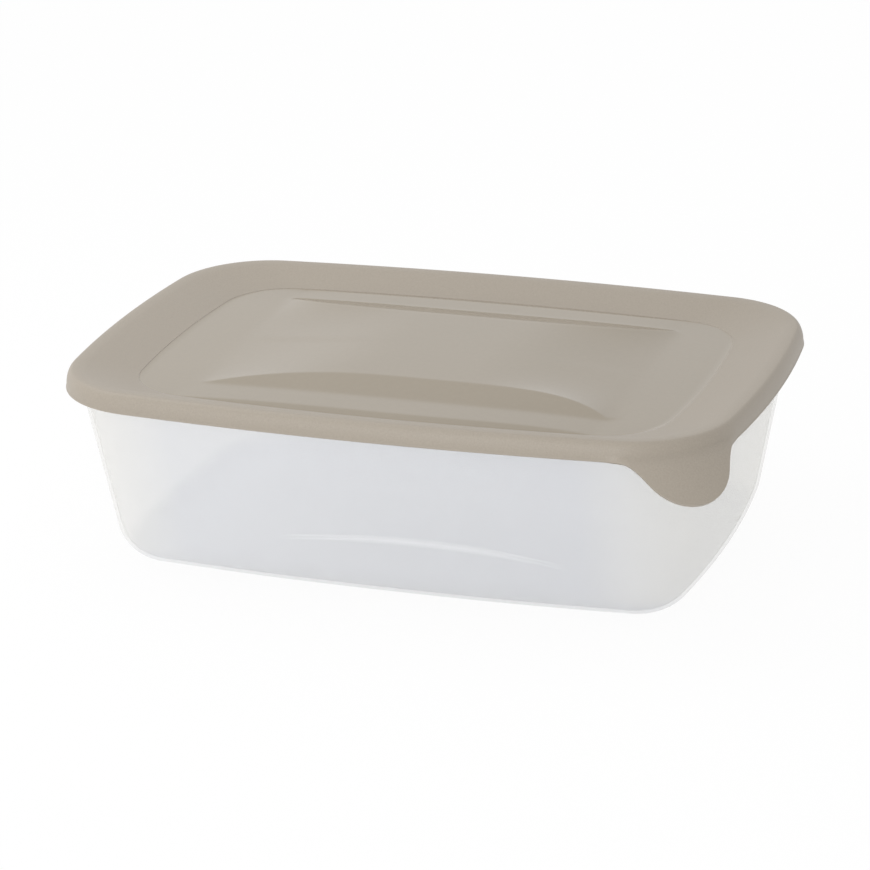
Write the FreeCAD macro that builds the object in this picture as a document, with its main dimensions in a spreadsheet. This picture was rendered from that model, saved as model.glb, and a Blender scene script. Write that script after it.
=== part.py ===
"""Lidded food storage box: a drafted tub with a rolled rim, and a press-on lid with a sunken, arched panel.

The frame is in millimetres, +Z up. The origin is the middle of the box's footprint, on the plane it stands on.
X runs along the long sides. The pull tab is on the corner between +X and -Y.
"""
import FreeCAD
import Part
import Sketcher
import math
import os

Vector = FreeCAD.Vector
START, END, CENTRE = 1, 2, 3          # points of a sketch arc or line
ORIGIN, X_AXIS, Y_AXIS = -1, -1, -2   # the sketch's own origin and axes
os.makedirs("parts", exist_ok=True)
doc = FreeCAD.newDocument("FoodBox")

# ---------------------------------------------------------------------------------------------
# Driving dimensions
# ---------------------------------------------------------------------------------------------
SIZES = [
    ("lid_length", 290.0, "outside of the lid's rim along X, at mid side"),
    ("lid_width", 196.0, "outside of the lid's rim along Y, at mid side"),
    ("corner_radius", 42.5, "plan radius of the rim's corners"),
    ("long_side_bow", 8.8, "how far the long sides bow outwards"),
    ("short_side_bow", 9.0, "how far the short sides bow outwards"),
    ("lip_height", 77.0, "height of the lid's lower edge above the base"),
    ("rim_height", 7.8, "height of the lid's rim, from its lower edge to its top"),
    ("rim_round", 3.4, "outer rounding along the top of the rim"),
    ("lid_wall", 1.4, "wall of the lid"),
    ("ring_inset", 6.5, "from the rim's outside to where the ring starts to slope down"),
    ("panel_length", 232.6, "border of the sunken panel along X, at mid side"),
    ("panel_width", 150.6, "border of the sunken panel along Y, at mid side"),
    ("panel_corner", 28.3, "plan radius of the panel border's corners"),
    ("panel_bow", 6.3, "how far the sides of the panel border bow outwards"),
    ("panel_sink", 6.1, "how far the panel border lies below the rim's top"),
    ("arch_length", 176.0, "length of the panel's arches along X"),
    ("edge_arch_rise", 1.0, "rise of the full-width arch in the panel"),
    ("edge_arch_width", 148.0, "width of the full-width arch, across Y"),
    ("dome_rise", 4.6, "rise of the raised bridge in the panel"),
    ("dome_width", 117.0, "width of the raised bridge at its foot, across Y"),
    ("facet_slope", 12.4, "slope of the facets along the arches, in degrees"),
    ("tub_inset", 5.2, "from the lid's outside to the tub's wall, at the tub's top"),
    ("seat_clearance", 0.3, "gap between the tub's rim and the lid, above and beside it"),
    ("draft_angle", 10.7, "draft of the tub's walls, in degrees"),
    ("tub_wall", 1.3, "wall of the tub"),
    ("base_round", 19.0, "outer rounding between the tub's walls and its base"),
    ("flange_depth", 4.2, "height of the tub's rolled rim"),
    ("base_arch_length", 186.0, "length of the arch in the tub's base along X"),
    ("base_arch_rise", 2.6, "rise of the arch in the tub's base"),
    ("base_dome_rise", 4.8, "rise of the bridge in the tub's base"),
    ("base_dome_width", 96.0, "width of the bridge in the tub's base at its foot"),
    ("tab_angle", 49.0, "turn of the pull tab's direction from +X towards -Y, in degrees"),
    ("tab_length", 16.0, "how far the pull tab reaches out from the rim, in plan"),
    ("tab_root", 2.0, "level root of the pull tab, in plan"),
    ("tab_droop", 47.0, "droop of the pull tab beyond its root, in degrees"),
    ("tab_tip_radius", 19.5, "plan radius of the tab's tip"),
    ("tab_side_radius", 70.0, "plan radius of the tab's hollow sides"),
    ("tab_wall", 1.6, "thickness of the pull tab, measured upright"),
]

sheet = doc.addObject("Spreadsheet::Sheet", "Sizes")
for row, (alias, value, meaning) in enumerate(SIZES, start=1):
    sheet.set(f"A{row}", alias)
    sheet.set(f"B{row}", str(value))
    sheet.set(f"C{row}", meaning)
    sheet.setAlias(f"B{row}", alias)
doc.recompute()


class Size:
    """A length or angle known both as a number and as an expression over the sheet."""

    def __init__(self, number, text):
        self.number = number
        self.text = text

    def joined(self, other, sign, number):
        """This size and another, or a plain number, joined by an arithmetic sign."""
        return Size(number, f"({self.text} {sign} {as_size(other).text})")

    def __add__(self, other):
        return self.joined(other, "+", self.number + as_size(other).number)

    def __sub__(self, other):
        return self.joined(other, "-", self.number - as_size(other).number)

    def __mul__(self, other):
        return self.joined(other, "*", self.number * as_size(other).number)

    def __truediv__(self, other):
        return self.joined(other, "/", self.number / as_size(other).number)


def as_size(value):
    """A size as it is, or a plain number as a size."""
    return value if isinstance(value, Size) else Size(float(value), repr(float(value)))


def named(alias):
    """The size that the sheet holds under this name."""
    return Size(float(sheet.get(alias)), f"Sizes.{alias}")


def tangent(angle):
    """Tangent of an angle given in degrees."""
    return Size(math.tan(math.radians(angle.number)), f"tan({angle.text} * 1 deg)")


def arc_radius(chord, rise):
    """Radius of the arc that stands this high over this chord."""
    return (chord * chord / 4 + rise * rise) / (rise * 2)


def larger(first, second):
    """The larger of two sizes."""
    return Size(max(first.number, second.number), f"max({first.text}; {second.text})")


NOTHING = as_size(0)
RIM_TOP = named("lip_height") + named("rim_height")
PANEL_LEVEL = RIM_TOP - named("panel_sink")
RING_WIDTH = (named("lid_width") - named("panel_width")) / 2 - named("ring_inset")
RING_SLOPE = named("panel_sink") / RING_WIDTH
SEAT_PAST_RING = larger(NOTHING, named("tub_inset") + named("tub_wall") - named("ring_inset"))
TUB_TOP = RIM_TOP - named("lid_wall") - named("seat_clearance") - SEAT_PAST_RING * RING_SLOPE
FLANGE_INSET = named("lid_wall") + named("seat_clearance")
SINK = 1.0            # how far a raised block reaches down into what carries it
PROUD = 1.0           # how far a cutting shape reaches past the face it cuts

RIM = {
    "length": named("lid_length"),
    "width": named("lid_width"),
    "corner": named("corner_radius"),
    "long_bow": named("long_side_bow"),
    "short_bow": named("short_side_bow"),
}
PANEL = {
    "length": named("panel_length"),
    "width": named("panel_width"),
    "corner": named("panel_corner"),
    "long_bow": named("panel_bow"),
    "short_bow": named("panel_bow"),
}


# ---------------------------------------------------------------------------------------------
# Bodies and sketches
# ---------------------------------------------------------------------------------------------
def new_body(name):
    """Empty body with its own Label."""
    body = doc.addObject("PartDesign::Body", name)
    body.Label = name
    return body


def new_sketch(body, name, role, **offset):
    """Sketch on one of the body's origin planes, shifted by sizes along its own x, y or z."""
    sketch = body.newObject("Sketcher::SketchObject", name)
    plane = next(feature for feature in body.Origin.OriginFeatures if feature.Role == role)
    sketch.AttachmentSupport = [(plane, "")]
    sketch.MapMode = "FlatFace"
    for axis, distance in offset.items():
        sketch.setExpression(f"AttachmentOffset.Base.{axis}", distance.text)
    return sketch


def constrain(sketch, rules):
    """Add constraints all at once, so that the drawn shape is kept; a Size as last field is bound to the sheet."""
    plain = []
    for kind, *fields in rules:
        values = [field.number if isinstance(field, Size) else field for field in fields]
        plain.append(Sketcher.Constraint(kind, *values))
    for index, rule in zip(sketch.addConstraint(plain), rules):
        if isinstance(rule[-1], Size):
            sketch.setExpression(f"Constraints[{index}]", rule[-1].text)


def add_arc(sketch, centre, radius, start_angle, end_angle):
    """Arc in the sketch, counterclockwise from one angle to the other."""
    circle = Part.Circle(centre, Vector(0, 0, 1), radius)
    return sketch.addGeometry(Part.ArcOfCircle(circle, start_angle, end_angle), False)


def corner_centre(outline):
    """Centres of the outline's long, short and corner arcs in its first quadrant, as start values."""
    half_x = outline["length"].number / 2
    half_y = outline["width"].number / 2
    long_radius = arc_radius(outline["length"], outline["long_bow"]).number
    short_radius = arc_radius(outline["width"], outline["short_bow"]).number
    long_centre = Vector(0, half_y - long_radius)
    short_centre = Vector(half_x - short_radius, 0)
    reach_long = long_radius - outline["corner"].number
    reach_short = short_radius - outline["corner"].number
    between = short_centre - long_centre
    along = (between.Length ** 2 + reach_long ** 2 - reach_short ** 2) / (2 * between.Length)
    across = math.sqrt(reach_long ** 2 - along ** 2)
    unit = Vector(between).normalize()
    corner = long_centre + unit * along + Vector(unit.y, -unit.x) * across
    return long_centre, short_centre, corner


def outline_sketch(body, name, outline, inset, height):
    """Closed plan outline of eight tangent arcs, moved inwards by an inset, at a height."""
    sketch = new_sketch(body, name, "XY_Plane", z=height)
    long_radius = arc_radius(outline["length"], outline["long_bow"])
    short_radius = arc_radius(outline["width"], outline["short_bow"])
    long_centre, short_centre, corner = corner_centre(outline)
    low = math.atan2(corner.y - short_centre.y, corner.x - short_centre.x)
    high = math.atan2(corner.y - long_centre.y, corner.x - long_centre.x)
    radii = {
        "short": short_radius - inset,
        "corner": outline["corner"] - inset,
        "long": long_radius - inset,
    }
    arcs = [
        ("short", short_centre, -low, low),
        ("corner", corner, low, high),
        ("long", long_centre, high, math.pi - high),
        ("corner", Vector(-corner.x, corner.y), math.pi - high, math.pi - low),
        ("short", -short_centre, math.pi - low, math.pi + low),
        ("corner", -corner, math.pi + low, math.pi + high),
        ("long", -long_centre, math.pi + high, 2 * math.pi - high),
        ("corner", Vector(corner.x, -corner.y), 2 * math.pi - high, 2 * math.pi - low),
    ]
    ids = [add_arc(sketch, centre, radii[kind].number, first, last) for kind, centre, first, last in arcs]
    rules = []
    for arc, following, (kind, *_) in zip(ids, ids[1:] + ids[:1], arcs):
        rules.append(("Tangent", arc, END, following, START))
        rules.append(("Radius", arc, radii[kind]))
    right, top, left, bottom = ids[0], ids[2], ids[4], ids[6]
    short_shift = short_radius - outline["length"] / 2
    long_shift = long_radius - outline["width"] / 2
    rules += [("PointOnObject", arc, CENTRE, X_AXIS) for arc in (right, left)]
    rules += [("PointOnObject", arc, CENTRE, Y_AXIS) for arc in (top, bottom)]
    rules += [
        ("DistanceX", right, CENTRE, ORIGIN, START, short_shift),
        ("DistanceX", ORIGIN, START, left, CENTRE, short_shift),
        ("DistanceY", top, CENTRE, ORIGIN, START, long_shift),
        ("DistanceY", ORIGIN, START, bottom, CENTRE, long_shift),
    ]
    constrain(sketch, rules)
    return sketch


def add_chain(sketch, corners):
    """Lines through corners given as points, each starting where the one before ends."""
    return [sketch.addGeometry(Part.LineSegment(a, b), False) for a, b in zip(corners, corners[1:])]


def closed(chain):
    """Constraints that close a chain of lines and arcs into a loop."""
    return [("Coincident", piece, END, following, START) for piece, following in zip(chain, chain[1:] + chain[:1])]


def polygon(sketch, corners):
    """Closed polygon through corners given as pairs of sizes, each dimensioned from the origin."""
    points = [Vector(x.number, y.number) for x, y in corners]
    lines = add_chain(sketch, points + points[:1])
    rules = closed(lines)
    for line, (x, y) in zip(lines, corners):
        rules.append(("DistanceX", ORIGIN, START, line, START, x))
        rules.append(("DistanceY", ORIGIN, START, line, START, y))
    constrain(sketch, rules)


def pad(body, name, sketch, length, symmetric=False):
    """Pad of a sketch, bound to its length."""
    feature = body.newObject("PartDesign::Pad", name)
    feature.Profile = sketch
    feature.setExpression("Length", length.text)
    if symmetric:
        feature.SideType = "Symmetric"
    doc.recompute()
    return feature


def loft(kind, body, name, start, finish):
    """Straight loft between two outlines, an AdditiveLoft or a SubtractiveLoft."""
    feature = body.newObject(f"PartDesign::{kind}", name)
    feature.Profile = start
    feature.Sections = [finish]
    feature.Ruled = True
    doc.recompute()
    return feature


def pocket_through(body, name, sketch):
    """Pocket of a sketch right through the body, to both sides of its plane."""
    feature = body.newObject("PartDesign::Pocket", name)
    feature.Profile = sketch
    feature.Type = "ThroughAll"
    feature.SideType = "Symmetric"
    before = feature.getPropertyByName("BaseFeature").Shape.Volume
    doc.recompute()
    if feature.Shape.Volume >= before:
        raise ValueError(f"{name} cuts nothing")
    return feature


def round_level_edges(body, name, feature, level, radius):
    """Fillet every edge of a feature that lies wholly at one height."""
    names = []
    for number, edge in enumerate(feature.Shape.Edges, start=1):
        box = edge.BoundBox
        if abs(box.ZMin - level.number) < 1e-4 and abs(box.ZMax - level.number) < 1e-4:
            names.append(f"Edge{number}")
    fillet = body.newObject("PartDesign::Fillet", name)
    fillet.Base = (feature, names)
    fillet.setExpression("Radius", radius.text)
    doc.recompute()
    return fillet


def join(kind, name, shapes):
    """Part boolean of several objects: a MultiFuse or a MultiCommon."""
    result = doc.addObject(f"Part::{kind}", name)
    result.Shapes = shapes
    doc.recompute()
    return result


def cut(name, base, tool):
    """Part boolean: base without tool."""
    result = doc.addObject("Part::Cut", name)
    result.Base = base
    result.Tool = tool
    doc.recompute()
    return result


# ---------------------------------------------------------------------------------------------
# Forms
# ---------------------------------------------------------------------------------------------
def arched_block(name, level, length, rise, width):
    """Block under a shallow arch that spans X, with its sides sloping down to a straight foot line."""
    body = new_body(name)
    arch = new_sketch(body, name + "Arch", "XZ_Plane", y=level)
    radius = arc_radius(length, rise)
    half = length.number / 2
    lift = radius.number - rise.number
    first = math.atan2(lift, half)
    arc = add_arc(arch, Vector(0, -lift), radius.number, first, math.pi - first)
    left, floor, right = add_chain(arch, [
        Vector(-half, 0),
        Vector(-half, -SINK),
        Vector(half, -SINK),
        Vector(half, 0),
    ])
    constrain(arch, closed([arc, left, floor, right]) + [
        ("Vertical", left),
        ("Horizontal", floor),
        ("Vertical", right),
        ("PointOnObject", arc, START, X_AXIS),
        ("Symmetric", arc, START, arc, END, Y_AXIS),
        ("DistanceX", arc, END, arc, START, length),
        ("Radius", arc, radius),
        ("DistanceY", left, END, left, START, as_size(SINK)),
    ])
    pad(body, name + "Span", arch, width, symmetric=True)
    slope = tangent(named("facet_slope"))
    over = rise + PROUD
    foot = width / 2
    outside = foot + PROUD
    sides = new_sketch(body, name + "Sides", "YZ_Plane", y=level)
    for sign in (1, -1):
        polygon(sides, [
            (foot * sign, NOTHING),
            (outside * sign, NOTHING),
            (outside * sign, over),
            ((foot - over / slope) * sign, over),
        ])
    pocket_through(body, name + "Facets", sides)
    return body


def lid_form(name, inset, drop):
    """Solid under the lid's upper skin, moved inwards from the rim and down from the top."""
    top = RIM_TOP - drop
    panel = PANEL_LEVEL - drop
    body = new_body(name)
    foot = outline_sketch(body, name + "Foot", RIM, inset, named("lip_height"))
    block = pad(body, name + "Block", foot, named("rim_height") - drop)
    round_level_edges(body, name + "Round", block, top, named("rim_round") - drop)
    opening = outline_sketch(body, name + "RingTop", RIM, named("ring_inset"), top)
    border = outline_sketch(body, name + "Border", PANEL, NOTHING, panel)
    loft("SubtractiveLoft", body, name + "Funnel", opening, border)
    arch_length = named("arch_length")
    edge_arch = arched_block(name + "EdgeArch", panel, arch_length, named("edge_arch_rise"), named("edge_arch_width"))
    dome = arched_block(name + "Dome", panel, arch_length, named("dome_rise"), named("dome_width"))
    return join("MultiFuse", name + "Form", [body, edge_arch, dome])


def tub_form(name, inset, lift):
    """Drafted solid with a rounded, arched base, moved inwards from the tub's wall and up from its base."""
    body = new_body(name)
    draw_in = (TUB_TOP - lift) * tangent(named("draft_angle"))
    mouth = outline_sketch(body, name + "Mouth", RIM, named("tub_inset") + inset, TUB_TOP)
    base = outline_sketch(body, name + "Base", RIM, named("tub_inset") + inset + draw_in, lift)
    block = loft("AdditiveLoft", body, name + "Block", mouth, base)
    round_level_edges(body, name + "Round", block, lift, named("base_round") - lift)
    wide = named("lid_width")
    arch_length = named("base_arch_length")
    arch = arched_block(name + "Arch", lift, arch_length, named("base_arch_rise"), wide)
    dome = arched_block(name + "Dome", lift, arch_length, named("base_dome_rise"), named("base_dome_width"))
    return cut(name + "Form", body, join("MultiFuse", name + "Raised", [arch, dome]))


def rolled_rim():
    """The tub's rim: a flat seat under the lid with an edge turned down."""
    wall = named("tub_wall")
    depth = named("flange_depth")
    body = new_body("RolledRim")
    low = TUB_TOP - depth
    outer = outline_sketch(body, "RolledRimOuter", RIM, FLANGE_INSET, low)
    block = pad(body, "RolledRimBlock", outer, depth)
    round_level_edges(body, "RolledRimRound", block, TUB_TOP, named("rim_round") - FLANGE_INSET)
    hollow = new_body("RolledRimHollow")
    inner = outline_sketch(hollow, "RolledRimInner", RIM, FLANGE_INSET + wall, low - PROUD)
    pad(hollow, "RolledRimHollowBlock", inner, depth - wall + PROUD)
    return cut("RolledRimForm", body, hollow)


def pull_tab():
    """Rounded tongue at the lid's corner: level at its root, then drooping, cut to its plan outline."""
    rim_radius = named("corner_radius")
    root = named("tab_root")
    reach = named("tab_length")
    wall = named("tab_wall")
    inside = rim_radius.number - named("lid_wall").number / 2
    tip = named("tab_tip_radius")
    side = named("tab_side_radius")
    corner = corner_centre(RIM)[2]
    centre = Vector(corner.x, -corner.y, 0)
    turn = -named("tab_angle").number
    level = named("lip_height")

    # Plan outline about the corner's centre, with +X along the tab
    tongue = doc.addObject("Part::Feature", "TabTongue")
    tip_centre = Vector(rim_radius.number + reach.number - tip.number, 0)
    near = rim_radius.number + side.number
    far = tip.number + side.number
    along = (near ** 2 + tip_centre.x ** 2 - far ** 2) / (2 * tip_centre.x)
    across = math.sqrt(near ** 2 - along ** 2)
    side_centre = Vector(along, across)
    foot = side_centre * (rim_radius.number / near)
    waist = tip_centre + (side_centre - tip_centre) * (tip.number / far)
    middle_direction = (foot + waist) * 0.5 - side_centre
    middle = side_centre + middle_direction.normalize() * side.number
    nose = tip_centre + Vector(tip.number, 0)
    inner = foot * (inside / rim_radius.number)
    edges = [
        Part.LineSegment(inner, foot).toShape(),
        Part.Arc(foot, middle, waist).toShape(),
        Part.Arc(waist, nose, mirrored(waist)).toShape(),
        Part.Arc(mirrored(waist), mirrored(middle), mirrored(foot)).toShape(),
        Part.LineSegment(mirrored(foot), mirrored(inner)).toShape(),
        Part.LineSegment(mirrored(inner), inner).toShape(),
    ]
    drop = (reach.number - root.number) * math.tan(math.radians(named("tab_droop").number))
    bottom = level.number - drop - wall.number
    outline = Part.Wire(edges)
    outline.translate(Vector(0, 0, bottom))
    tongue.Shape = Part.Face(outline).extrude(Vector(0, 0, level.number + 4 * wall.number - bottom))

    # Upright section of the plate, from the middle of the rim's wall outwards, swept round the corner's centre
    plate = doc.addObject("Part::Feature", "TabPlate")
    bend = rim_radius.number + root.number
    outside = rim_radius.number + reach.number + PROUD
    fall = (outside - bend) * math.tan(math.radians(named("tab_droop").number))
    section = [
        Vector(inside, 0, level.number),
        Vector(bend, 0, level.number),
        Vector(outside, 0, level.number - fall),
        Vector(outside, 0, level.number - fall + wall.number),
        Vector(bend, 0, level.number + wall.number),
        Vector(inside, 0, level.number + wall.number),
    ]
    face = Part.Face(Part.makePolygon(section + section[:1]))
    face.rotate(Vector(0, 0, 0), Vector(0, 0, 1), -90)
    plate.Shape = face.revolve(Vector(0, 0, 0), Vector(0, 0, 1), 180)
    placement = FreeCAD.Placement(centre, FreeCAD.Rotation(Vector(0, 0, 1), turn))
    tongue.Placement = placement
    plate.Placement = placement
    return join("MultiCommon", "PullTab", [tongue, plate])


def mirrored(point):
    """The point mirrored across the tab's own axis."""
    return Vector(point.x, -point.y, point.z)


# ---------------------------------------------------------------------------------------------
# The two pieces
# ---------------------------------------------------------------------------------------------
def make_tub():
    """Thin-walled tub with its rolled rim."""
    wall = named("tub_wall")
    outside = tub_form("TubOutside", NOTHING, NOTHING)
    cavity = tub_form("TubCavity", wall, wall)
    return cut("tub", join("MultiFuse", "TubSolid", [outside, rolled_rim()]), cavity)


def make_lid():
    """Thin-walled lid with its pull tab."""
    wall = named("lid_wall")
    skin = cut("LidSkin", lid_form("LidOutside", NOTHING, NOTHING), lid_form("LidInside", wall, wall))
    return join("MultiFuse", "lid", [skin, pull_tab()])


def check_document():
    """Stop if any object of the document failed."""
    for item in doc.Objects:
        if "Invalid" in item.State or "Error" in item.State:
            raise ValueError(f"{item.Name} failed: {item.State}")


def export(piece):
    """Check one finished piece and write it to parts/."""
    piece.Label = piece.Name
    piece.Placement = FreeCAD.Placement()
    shape = piece.Shape
    if shape.isNull() or not shape.isValid() or len(shape.Solids) != 1:
        raise ValueError(f"{piece.Name} isn't one valid solid")
    shape.exportStep(f"parts/{piece.Name}.step")
    box = shape.BoundBox
    print(piece.Name, "volume", round(shape.Volume), "box", box)


pieces = [make_tub(), make_lid()]
doc.recompute()
check_document()
for piece in pieces:
    export(piece)
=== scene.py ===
"""Looks of a lidded food storage box: a taupe lid with a glossy sunken panel, pressed onto a frosted tub.

The box is in metres, +Z up, with its origin in the middle of its footprint. X runs along the long sides, and
the pull tab is on the corner between +X and -Y.
"""
import math

import bmesh
import bpy
from bpy.props import FloatProperty, FloatVectorProperty, PointerProperty
from mathutils import Matrix, Vector


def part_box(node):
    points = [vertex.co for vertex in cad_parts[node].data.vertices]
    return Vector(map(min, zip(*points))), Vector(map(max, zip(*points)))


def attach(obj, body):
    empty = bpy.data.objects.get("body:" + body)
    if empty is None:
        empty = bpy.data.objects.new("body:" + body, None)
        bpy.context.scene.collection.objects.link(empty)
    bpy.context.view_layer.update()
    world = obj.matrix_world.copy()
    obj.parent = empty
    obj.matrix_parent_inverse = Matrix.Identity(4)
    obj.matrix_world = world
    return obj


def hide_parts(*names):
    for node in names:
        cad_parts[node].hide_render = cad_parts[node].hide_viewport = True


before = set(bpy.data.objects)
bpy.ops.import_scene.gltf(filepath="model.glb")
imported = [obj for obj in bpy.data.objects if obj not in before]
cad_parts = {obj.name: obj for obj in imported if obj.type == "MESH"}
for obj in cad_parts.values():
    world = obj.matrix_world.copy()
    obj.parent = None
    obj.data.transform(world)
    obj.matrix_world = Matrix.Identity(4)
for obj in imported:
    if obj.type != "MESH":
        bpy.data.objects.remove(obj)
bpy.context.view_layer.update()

bl_info = {
    "name": "Lidded Food Box",
    "version": (1, 0, 0),
    "blender": (4, 5, 0),
    "location": "View3D > Sidebar > Food Box",
    "description": "Models and finishes a frosted storage box with a press-on lid",
    "category": "Object",
}

MM = 0.001
LID_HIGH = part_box("lid")[1]
TUB_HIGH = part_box("tub")[1]
ARCS = 12                           # arcs of a whole outline, three in each quadrant
SAME_PLACE = 0.002 * MM             # points nearer than this are merged
SMOOTH_BELOW = math.radians(40)     # edges that turn less than this are shaded smooth


# ----------------------------------------
# Sizes and colours
# ----------------------------------------
def length_property(name, description, default):
    """A length in metres."""
    return FloatProperty(
        name=name, description=description, default=default, min=0.0, unit="LENGTH", precision=4)


def angle_property(name, description, degrees):
    """An angle, given here in degrees."""
    return FloatProperty(name=name, description=description, default=math.radians(degrees), subtype="ANGLE")


def colour_property(name, description, default):
    """A linear colour."""
    return FloatVectorProperty(
        name=name, description=description, default=default, size=3, min=0.0, max=1.0, subtype="COLOR")


def factor_property(name, description, default):
    """A share from 0 to 1."""
    return FloatProperty(
        name=name, description=description, default=default, min=0.0, max=1.0, subtype="FACTOR")


class BoxOutline(bpy.types.PropertyGroup):
    """Plan outline of the rim, which the tub follows too."""

    length: length_property("Length", "Outside of the rim along X", 2 * LID_HIGH.x)
    width: length_property("Width", "Outside of the rim along Y", 2 * LID_HIGH.y)
    corner: length_property("Corner radius", "Plan radius of the corners", 42.5 * MM)
    long_bow: length_property("Long side bow", "How far the long sides bow outwards", 8.8 * MM)
    short_bow: length_property("Short side bow", "How far the short sides bow outwards", 9.0 * MM)


class LidSizes(bpy.types.PropertyGroup):
    """The lid's rim, ring, sunken panel and pull tab."""

    top: length_property("Rim top", "Height of the rim's top", LID_HIGH.z)
    lip: length_property("Lip", "Height of the rim's lower edge", 77.0 * MM)
    wall: length_property("Wall", "Thickness of the lid", 1.4 * MM)
    shoulder_width: length_property("Shoulder width", "Width of the rim's rounded shoulder", 3.4 * MM)
    shoulder_height: length_property("Shoulder height", "Height of the rim's rounded shoulder", 7.0 * MM)
    lip_flare: length_property("Lip flare", "How far the lip stands out from the wall above it", 0.25 * MM)
    ring_inset: length_property("Ring inset", "From the rim's outside to the ring's slope", 6.5 * MM)
    panel_length: length_property("Panel length", "Border of the panel along X", 232.6 * MM)
    panel_width: length_property("Panel width", "Border of the panel along Y", 150.6 * MM)
    panel_corner: length_property("Panel corner", "Plan radius of the panel's corners", 28.3 * MM)
    panel_bow: length_property("Panel bow", "How far the panel's sides bow outwards", 6.3 * MM)
    panel_sink: length_property("Panel sink", "Depth of the panel's border below the rim", 6.1 * MM)
    border_step: length_property("Border step", "Height of the small step round the panel", 0.2 * MM)
    arch_reach: length_property("Arch reach", "From the middle to the ends of the arches", 88.0 * MM)
    edge_rise: length_property("Edge arch rise", "Rise of the arch that spans the panel", 1.0 * MM)
    bridge_depth: length_property("Facet width", "Width of the facets along the bridge", 16.3 * MM)
    bridge_foot: length_property("Bridge foot", "From the middle to the foot of the front facet", 54.5 * MM)
    back_foot: length_property("Back foot", "From the middle to the foot of the back facet", 58.0 * MM)
    facet_slope: angle_property("Facet slope", "Slope of the facets", 12.4)
    tab_direction: angle_property("Tab direction", "Turn of the tab from +X towards -Y", 49.0)
    tab_reach: length_property("Tab reach", "How far the tab stands out in plan", 16.0 * MM)
    tab_root: length_property("Tab root", "Level start of the tab", 2.0 * MM)
    tab_droop: angle_property("Tab droop", "Droop of the tab", 47.0)
    tab_tip: length_property("Tab tip radius", "Plan radius of the tab's tip", 19.5 * MM)
    tab_side: length_property("Tab side radius", "Plan radius of the tab's hollow sides", 70.0 * MM)
    tab_height: length_property("Tab height", "Height of the tab's root above the lip", 1.6 * MM)


class TubSizes(bpy.types.PropertyGroup):
    """The tub's drafted walls, arched base and rolled rim."""

    top: length_property("Top", "Height of the rim", TUB_HIGH.z)
    inset: length_property("Inset", "From the lid's outside to the wall at the top", 5.2 * MM)
    draft: angle_property("Draft", "Draft of the walls", 10.7)
    wall: length_property("Wall", "Thickness of the tub", 1.3 * MM)
    base_round: length_property("Base rounding", "Rounding between walls and base", 19.0 * MM)
    flange_inset: length_property("Flange inset", "From the lid's outside to the rolled rim", 1.7 * MM)
    flange_depth: length_property("Flange depth", "Height of the rolled rim", 4.2 * MM)
    arch_reach: length_property("Arch reach", "From the middle to the ends of the arch", 93.0 * MM)
    arch_rise: length_property("Arch rise", "Rise of the arch under the base", 2.6 * MM)
    bridge_rise: length_property("Bridge rise", "Rise of the bridge under the base", 4.8 * MM)
    bridge_foot: length_property("Bridge foot", "From the middle to the foot of the facets", 48.0 * MM)
    facet_slope: angle_property("Facet slope", "Slope of the facets", 12.4)


class FinishColours(bpy.types.PropertyGroup):
    """Colours and gloss of the two plastics."""

    lid: colour_property("Lid", "Colour of the lid's polished panel", (0.318, 0.275, 0.213))
    lid_rim: colour_property("Lid rim", "Colour of the lid's satin rim and ring", (0.362, 0.318, 0.263))
    lid_satin: factor_property("Rim roughness", "Roughness of the satin rim and ring", 0.46)
    lid_gloss: factor_property("Panel roughness", "Roughness of the polished panel", 0.13)
    tub: colour_property("Tub", "Colour of the tub's haze", (0.645, 0.67, 0.735))
    # Painted light: the end walls get a lighter, warmer colour than the rest of the tub.
    tub_ends_painted_light: colour_property("Tub ends", "Colour of the haze in the tub's end walls", (0.88, 0.86, 0.79))
    tub_haze: factor_property("Tub haze", "How far each face of the tub hides what is behind it", 0.175)
    tub_roughness: factor_property("Tub roughness", "Roughness of the tub", 0.30)
    floor: colour_property("Floor", "Colour of the floor", (0.98, 0.98, 0.98))


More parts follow.
